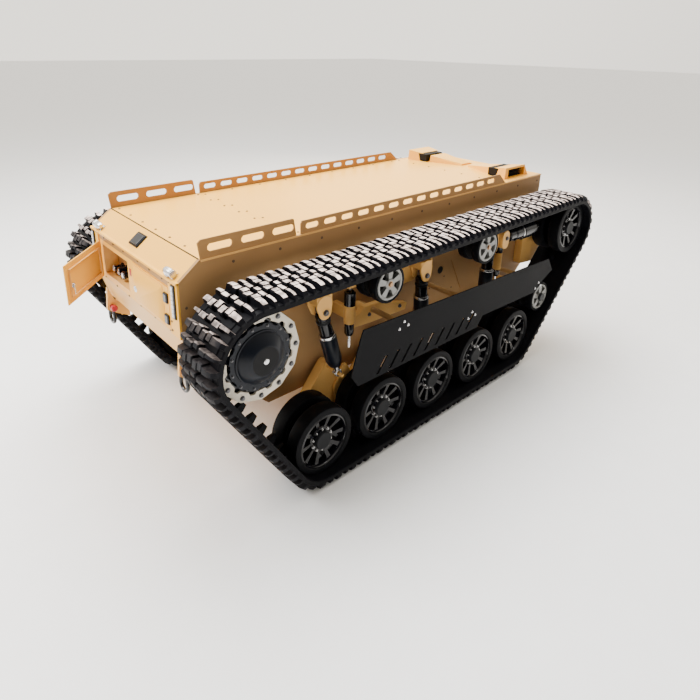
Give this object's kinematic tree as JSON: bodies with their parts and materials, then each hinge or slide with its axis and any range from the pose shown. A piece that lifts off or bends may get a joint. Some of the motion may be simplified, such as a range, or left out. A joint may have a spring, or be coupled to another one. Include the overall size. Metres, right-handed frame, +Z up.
{
  "type": "tracked robot chassis",
  "caption": "Tracked robot chassis with a sand-painted sheet-metal hull, twin rubber tracks, sprung road wheels, slotted deck rails and front access doors.",
  "frame": {"origin": "on the ground, in the middle of the box round the whole machine with the right door open", "axes": "+Z up, -X to the front with the doors and lamps, -Y to the robot's left side"},
  "size_m": [2.313, 1.206, 0.9023],
  "materials": {
    "sand_paint": "satin",
    "brown_paint": "satin",
    "track_rubber": "matte",
    "wheel_rubber": "matte",
    "roller_metal": "satin",
    "black_coat": "gloss",
    "sprocket_metal": "satin",
    "charcoal_coat": "satin",
    "machined_metal": "brushed",
    "battery_case": "matte"
  },
  "bodies": {
    "chassis": {"hull_front": "sand_paint", "hull_belly": "sand_paint", "hull_side_left": "sand_paint", "hull_side_right": "sand_paint", "front_deck_panel": "sand_paint", "main_deck_panel": "sand_paint", "rear_deck_panel": "sand_paint", "battery_box": "battery_case", "front_rail_left": "brown_paint", "side_rail_left": "brown_paint", "track_left": "track_rubber", "drive_motor_left": "machined_metal", "guard_plate_left": "charcoal_coat", "tow_bracket_left": "sand_paint", "front_rail_right": "brown_paint", "side_rail_right": "brown_paint", "track_right": "track_rubber", "drive_motor_right": "machined_metal", "guard_plate_right": "charcoal_coat", "tow_bracket_right": "sand_paint"},
    "door_left": {"door_left": "sand_paint"},
    "drive_sprocket_left": {"drive_sprocket_left": "sprocket_metal"},
    "idler_wheel_left": {"idler_wheel_left": "wheel_rubber"},
    "return_roller_left_1": {"return_roller_left_1": "roller_metal"},
    "return_roller_left_2": {"return_roller_left_2": "roller_metal"},
    "return_roller_left_3": {"return_roller_left_3": "roller_metal"},
    "swing_arm_left_1": {"swing_arm_left_1": "sand_paint"},
    "damper_body_left_1": {"damper_body_left_1": "black_coat"},
    "damper_sleeve_left_1": {"damper_sleeve_left_1": "black_coat"},
    "road_wheel_left_1": {"road_wheel_left_1": "wheel_rubber"},
    "road_wheel_left_2": {"road_wheel_left_2": "wheel_rubber"},
    "swing_arm_left_2": {"swing_arm_left_2": "sand_paint"},
    "damper_body_left_2": {"damper_body_left_2": "black_coat"},
    "damper_sleeve_left_2": {"damper_sleeve_left_2": "black_coat"},
    "road_wheel_left_3": {"road_wheel_left_3": "wheel_rubber"},
    "swing_arm_left_3": {"swing_arm_left_3": "sand_paint"},
    "damper_body_left_3": {"damper_body_left_3": "black_coat"},
    "damper_sleeve_left_3": {"damper_sleeve_left_3": "black_coat"},
    "road_wheel_left_4": {"road_wheel_left_4": "wheel_rubber"},
    "road_wheel_left_5": {"road_wheel_left_5": "wheel_rubber"},
    "door_right": {"door_right": "sand_paint"},
    "drive_sprocket_right": {"drive_sprocket_right": "sprocket_metal"},
    "idler_wheel_right": {"idler_wheel_right": "wheel_rubber"},
    "return_roller_right_1": {"return_roller_right_1": "roller_metal"},
    "return_roller_right_2": {"return_roller_right_2": "roller_metal"},
    "return_roller_right_3": {"return_roller_right_3": "roller_metal"},
    "swing_arm_right_1": {"swing_arm_right_1": "sand_paint"},
    "damper_body_right_1": {"damper_body_right_1": "black_coat"},
    "damper_sleeve_right_1": {"damper_sleeve_right_1": "black_coat"},
    "road_wheel_right_1": {"road_wheel_right_1": "wheel_rubber"},
    "road_wheel_right_2": {"road_wheel_right_2": "wheel_rubber"},
    "swing_arm_right_2": {"swing_arm_right_2": "sand_paint"},
    "damper_body_right_2": {"damper_body_right_2": "black_coat"},
    "damper_sleeve_right_2": {"damper_sleeve_right_2": "black_coat"},
    "road_wheel_right_3": {"road_wheel_right_3": "wheel_rubber"},
    "swing_arm_right_3": {"swing_arm_right_3": "sand_paint"},
    "damper_body_right_3": {"damper_body_right_3": "black_coat"},
    "damper_sleeve_right_3": {"damper_sleeve_right_3": "black_coat"},
    "road_wheel_right_4": {"road_wheel_right_4": "wheel_rubber"},
    "road_wheel_right_5": {"road_wheel_right_5": "wheel_rubber"}
  },
  "joints": [
    {"name": "door_left_hinge", "type": "hinge", "parent": "chassis", "child": "door_left", "pos_m": [-0.9793, -0.283, 0.677], "axis": [0, 0, 1], "range_deg": [0, 110]},
    {"name": "drive_sprocket_left_spin", "type": "hinge", "parent": "chassis", "child": "drive_sprocket_left", "pos_m": [-0.8285, -0.5, 0.587], "axis": [0, 1, 0], "continuous": true},
    {"name": "idler_wheel_left_spin", "type": "hinge", "parent": "chassis", "child": "idler_wheel_left", "pos_m": [0.989, -0.5, 0.615], "axis": [0, 1, 0], "continuous": true},
    {"name": "return_roller_left_1_spin", "type": "hinge", "parent": "chassis", "child": "return_roller_left_1", "pos_m": [-0.276, -0.5, 0.66093], "axis": [0, 1, 0], "continuous": true},
    {"name": "return_roller_left_2_spin", "type": "hinge", "parent": "chassis", "child": "return_roller_left_2", "pos_m": [0.312, -0.5, 0.66352], "axis": [0, 1, 0], "continuous": true},
    {"name": "return_roller_left_3_spin", "type": "hinge", "parent": "chassis", "child": "return_roller_left_3", "pos_m": [0.772, -0.5, 0.311], "axis": [0, 1, 0], "continuous": true},
    {"name": "swing_arm_left_1_lift", "type": "hinge", "parent": "chassis", "child": "swing_arm_left_1", "pos_m": [-0.15, -0.382, 0.335], "axis": [0, 1, 0], "range_deg": [0, 6]},
    {"name": "damper_body_left_1_tilt", "type": "hinge", "parent": "chassis", "child": "damper_body_left_1", "pos_m": [-0.512, -0.455, 0.598], "axis": [0, 1, 0], "range_deg": [-4, 4]},
    {"name": "damper_sleeve_left_1_slide", "type": "slide", "parent": "damper_body_left_1", "child": "damper_sleeve_left_1", "axis": [0.2848, 0, -0.9586], "range_m": [-0.032, 0.002]},
    {"name": "road_wheel_left_1_spin", "type": "hinge", "parent": "swing_arm_left_1", "child": "road_wheel_left_1", "pos_m": [-0.5835, -0.5, 0.1685], "axis": [0, 1, 0], "continuous": true},
    {"name": "road_wheel_left_2_spin", "type": "hinge", "parent": "swing_arm_left_1", "child": "road_wheel_left_2", "pos_m": [-0.2945, -0.5, 0.1685], "axis": [0, 1, 0], "continuous": true},
    {"name": "swing_arm_left_2_lift", "type": "hinge", "parent": "chassis", "child": "swing_arm_left_2", "pos_m": [0.14, -0.382, 0.335], "axis": [0, 1, 0], "range_deg": [0, 6]},
    {"name": "damper_body_left_2_tilt", "type": "hinge", "parent": "chassis", "child": "damper_body_left_2", "pos_m": [0.01, -0.455, 0.594], "axis": [0, 1, 0], "range_deg": [-4, 4]},
    {"name": "damper_sleeve_left_2_slide", "type": "slide", "parent": "damper_body_left_2", "child": "damper_sleeve_left_2", "axis": [0.077, 0, -0.997], "range_m": [-0.032, 0.002]},
    {"name": "road_wheel_left_3_spin", "type": "hinge", "parent": "swing_arm_left_2", "child": "road_wheel_left_3", "pos_m": [-0.0055, -0.5, 0.1685], "axis": [0, 1, 0], "continuous": true},
    {"name": "swing_arm_left_3_lift", "type": "hinge", "parent": "chassis", "child": "swing_arm_left_3", "pos_m": [0.715, -0.382, 0.335], "axis": [0, 1, 0], "range_deg": [0, 6]},
    {"name": "damper_body_left_3_tilt", "type": "hinge", "parent": "chassis", "child": "damper_body_left_3", "pos_m": [0.47, -0.455, 0.6], "axis": [0, 1, 0], "range_deg": [-4, 4]},
    {"name": "damper_sleeve_left_3_slide", "type": "slide", "parent": "damper_body_left_3", "child": "damper_sleeve_left_3", "axis": [0, 0, -1], "range_m": [-0.032, 0.002]},
    {"name": "road_wheel_left_4_spin", "type": "hinge", "parent": "swing_arm_left_3", "child": "road_wheel_left_4", "pos_m": [0.2835, -0.5, 0.1685], "axis": [0, 1, 0], "continuous": true},
    {"name": "road_wheel_left_5_spin", "type": "hinge", "parent": "swing_arm_left_3", "child": "road_wheel_left_5", "pos_m": [0.5725, -0.5, 0.1685], "axis": [0, 1, 0], "continuous": true},
    {"name": "door_right_hinge", "type": "hinge", "parent": "chassis", "child": "door_right", "pos_m": [-0.9793, 0.283, 0.677], "axis": [0, 0, -1], "range_deg": [-45, 65]},
    {"name": "drive_sprocket_right_spin", "type": "hinge", "parent": "chassis", "child": "drive_sprocket_right", "pos_m": [-0.8285, 0.5, 0.587], "axis": [0, 1, 0], "continuous": true},
    {"name": "idler_wheel_right_spin", "type": "hinge", "parent": "chassis", "child": "idler_wheel_right", "pos_m": [0.989, 0.5, 0.615], "axis": [0, 1, 0], "continuous": true},
    {"name": "return_roller_right_1_spin", "type": "hinge", "parent": "chassis", "child": "return_roller_right_1", "pos_m": [-0.276, 0.5, 0.66093], "axis": [0, 1, 0], "continuous": true},
    {"name": "return_roller_right_2_spin", "type": "hinge", "parent": "chassis", "child": "return_roller_right_2", "pos_m": [0.312, 0.5, 0.66352], "axis": [0, 1, 0], "continuous": true},
    {"name": "return_roller_right_3_spin", "type": "hinge", "parent": "chassis", "child": "return_roller_right_3", "pos_m": [0.772, 0.5, 0.311], "axis": [0, 1, 0], "continuous": true},
    {"name": "swing_arm_right_1_lift", "type": "hinge", "parent": "chassis", "child": "swing_arm_right_1", "pos_m": [-0.15, 0.382, 0.335], "axis": [0, 1, 0], "range_deg": [0, 6]},
    {"name": "damper_body_right_1_tilt", "type": "hinge", "parent": "chassis", "child": "damper_body_right_1", "pos_m": [-0.512, 0.455, 0.598], "axis": [0, 1, 0], "range_deg": [-4, 4]},
    {"name": "damper_sleeve_right_1_slide", "type": "slide", "parent": "damper_body_right_1", "child": "damper_sleeve_right_1", "axis": [0.2848, 0, -0.9586], "range_m": [-0.032, 0.002]},
    {"name": "road_wheel_right_1_spin", "type": "hinge", "parent": "swing_arm_right_1", "child": "road_wheel_right_1", "pos_m": [-0.5835, 0.5, 0.1685], "axis": [0, 1, 0], "continuous": true},
    {"name": "road_wheel_right_2_spin", "type": "hinge", "parent": "swing_arm_right_1", "child": "road_wheel_right_2", "pos_m": [-0.2945, 0.5, 0.1685], "axis": [0, 1, 0], "continuous": true},
    {"name": "swing_arm_right_2_lift", "type": "hinge", "parent": "chassis", "child": "swing_arm_right_2", "pos_m": [0.14, 0.382, 0.335], "axis": [0, 1, 0], "range_deg": [0, 6]},
    {"name": "damper_body_right_2_tilt", "type": "hinge", "parent": "chassis", "child": "damper_body_right_2", "pos_m": [0.01, 0.455, 0.594], "axis": [0, 1, 0], "range_deg": [-4, 4]},
    {"name": "damper_sleeve_right_2_slide", "type": "slide", "parent": "damper_body_right_2", "child": "damper_sleeve_right_2", "axis": [0.077, 0, -0.997], "range_m": [-0.032, 0.002]},
    {"name": "road_wheel_right_3_spin", "type": "hinge", "parent": "swing_arm_right_2", "child": "road_wheel_right_3", "pos_m": [-0.0055, 0.5, 0.1685], "axis": [0, 1, 0], "continuous": true},
    {"name": "swing_arm_right_3_lift", "type": "hinge", "parent": "chassis", "child": "swing_arm_right_3", "pos_m": [0.715, 0.382, 0.335], "axis": [0, 1, 0], "range_deg": [0, 6]},
    {"name": "damper_body_right_3_tilt", "type": "hinge", "parent": "chassis", "child": "damper_body_right_3", "pos_m": [0.47, 0.455, 0.6], "axis": [0, 1, 0], "range_deg": [-4, 4]},
    {"name": "damper_sleeve_right_3_slide", "type": "slide", "parent": "damper_body_right_3", "child": "damper_sleeve_right_3", "axis": [0, 0, -1], "range_m": [-0.032, 0.002]},
    {"name": "road_wheel_right_4_spin", "type": "hinge", "parent": "swing_arm_right_3", "child": "road_wheel_right_4", "pos_m": [0.2835, 0.5, 0.1685], "axis": [0, 1, 0], "continuous": true},
    {"name": "road_wheel_right_5_spin", "type": "hinge", "parent": "swing_arm_right_3", "child": "road_wheel_right_5", "pos_m": [0.5725, 0.5, 0.1685], "axis": [0, 1, 0], "continuous": true}
  ],
  "couplings": [
    {"joint": "idler_wheel_left_spin", "follows": "drive_sprocket_left_spin", "ratio": 1.16},
    {"joint": "return_roller_left_1_spin", "follows": "drive_sprocket_left_spin", "ratio": 1.9728},
    {"joint": "return_roller_left_2_spin", "follows": "drive_sprocket_left_spin", "ratio": 1.9728},
    {"joint": "return_roller_left_3_spin", "follows": "drive_sprocket_left_spin", "ratio": 1.9728},
    {"joint": "damper_body_left_1_tilt", "follows": "swing_arm_left_1_lift", "ratio": -0.29843},
    {"joint": "damper_sleeve_left_1_slide", "follows": "swing_arm_left_1_lift", "m_per_rad": -0.26783},
    {"joint": "road_wheel_left_1_spin", "follows": "drive_sprocket_left_spin", "ratio": 1.16},
    {"joint": "road_wheel_left_2_spin", "follows": "drive_sprocket_left_spin", "ratio": 1.16},
    {"joint": "damper_body_left_2_tilt", "follows": "swing_arm_left_2_lift", "ratio": -0.05278},
    {"joint": "damper_sleeve_left_2_slide", "follows": "swing_arm_left_2_lift", "m_per_rad": -0.10914},
    {"joint": "road_wheel_left_3_spin", "follows": "drive_sprocket_left_spin", "ratio": 1.16},
    {"joint": "damper_body_left_3_tilt", "follows": "swing_arm_left_3_lift", "ratio": 0.00923},
    {"joint": "damper_sleeve_left_3_slide", "follows": "swing_arm_left_3_lift", "m_per_rad": -0.24526},
    {"joint": "road_wheel_left_4_spin", "follows": "drive_sprocket_left_spin", "ratio": 1.16},
    {"joint": "road_wheel_left_5_spin", "follows": "drive_sprocket_left_spin", "ratio": 1.16},
    {"joint": "idler_wheel_right_spin", "follows": "drive_sprocket_right_spin", "ratio": 1.16},
    {"joint": "return_roller_right_1_spin", "follows": "drive_sprocket_right_spin", "ratio": 1.9728},
    {"joint": "return_roller_right_2_spin", "follows": "drive_sprocket_right_spin", "ratio": 1.9728},
    {"joint": "return_roller_right_3_spin", "follows": "drive_sprocket_right_spin", "ratio": 1.9728},
    {"joint": "damper_body_right_1_tilt", "follows": "swing_arm_right_1_lift", "ratio": -0.29843},
    {"joint": "damper_sleeve_right_1_slide", "follows": "swing_arm_right_1_lift", "m_per_rad": -0.26783},
    {"joint": "road_wheel_right_1_spin", "follows": "drive_sprocket_right_spin", "ratio": 1.16},
    {"joint": "road_wheel_right_2_spin", "follows": "drive_sprocket_right_spin", "ratio": 1.16},
    {"joint": "damper_body_right_2_tilt", "follows": "swing_arm_right_2_lift", "ratio": -0.05278},
    {"joint": "damper_sleeve_right_2_slide", "follows": "swing_arm_right_2_lift", "m_per_rad": -0.10914},
    {"joint": "road_wheel_right_3_spin", "follows": "drive_sprocket_right_spin", "ratio": 1.16},
    {"joint": "damper_body_right_3_tilt", "follows": "swing_arm_right_3_lift", "ratio": 0.00923},
    {"joint": "damper_sleeve_right_3_slide", "follows": "swing_arm_right_3_lift", "m_per_rad": -0.24526},
    {"joint": "road_wheel_right_4_spin", "follows": "drive_sprocket_right_spin", "ratio": 1.16},
    {"joint": "road_wheel_right_5_spin", "follows": "drive_sprocket_right_spin", "ratio": 1.16}
  ]
}
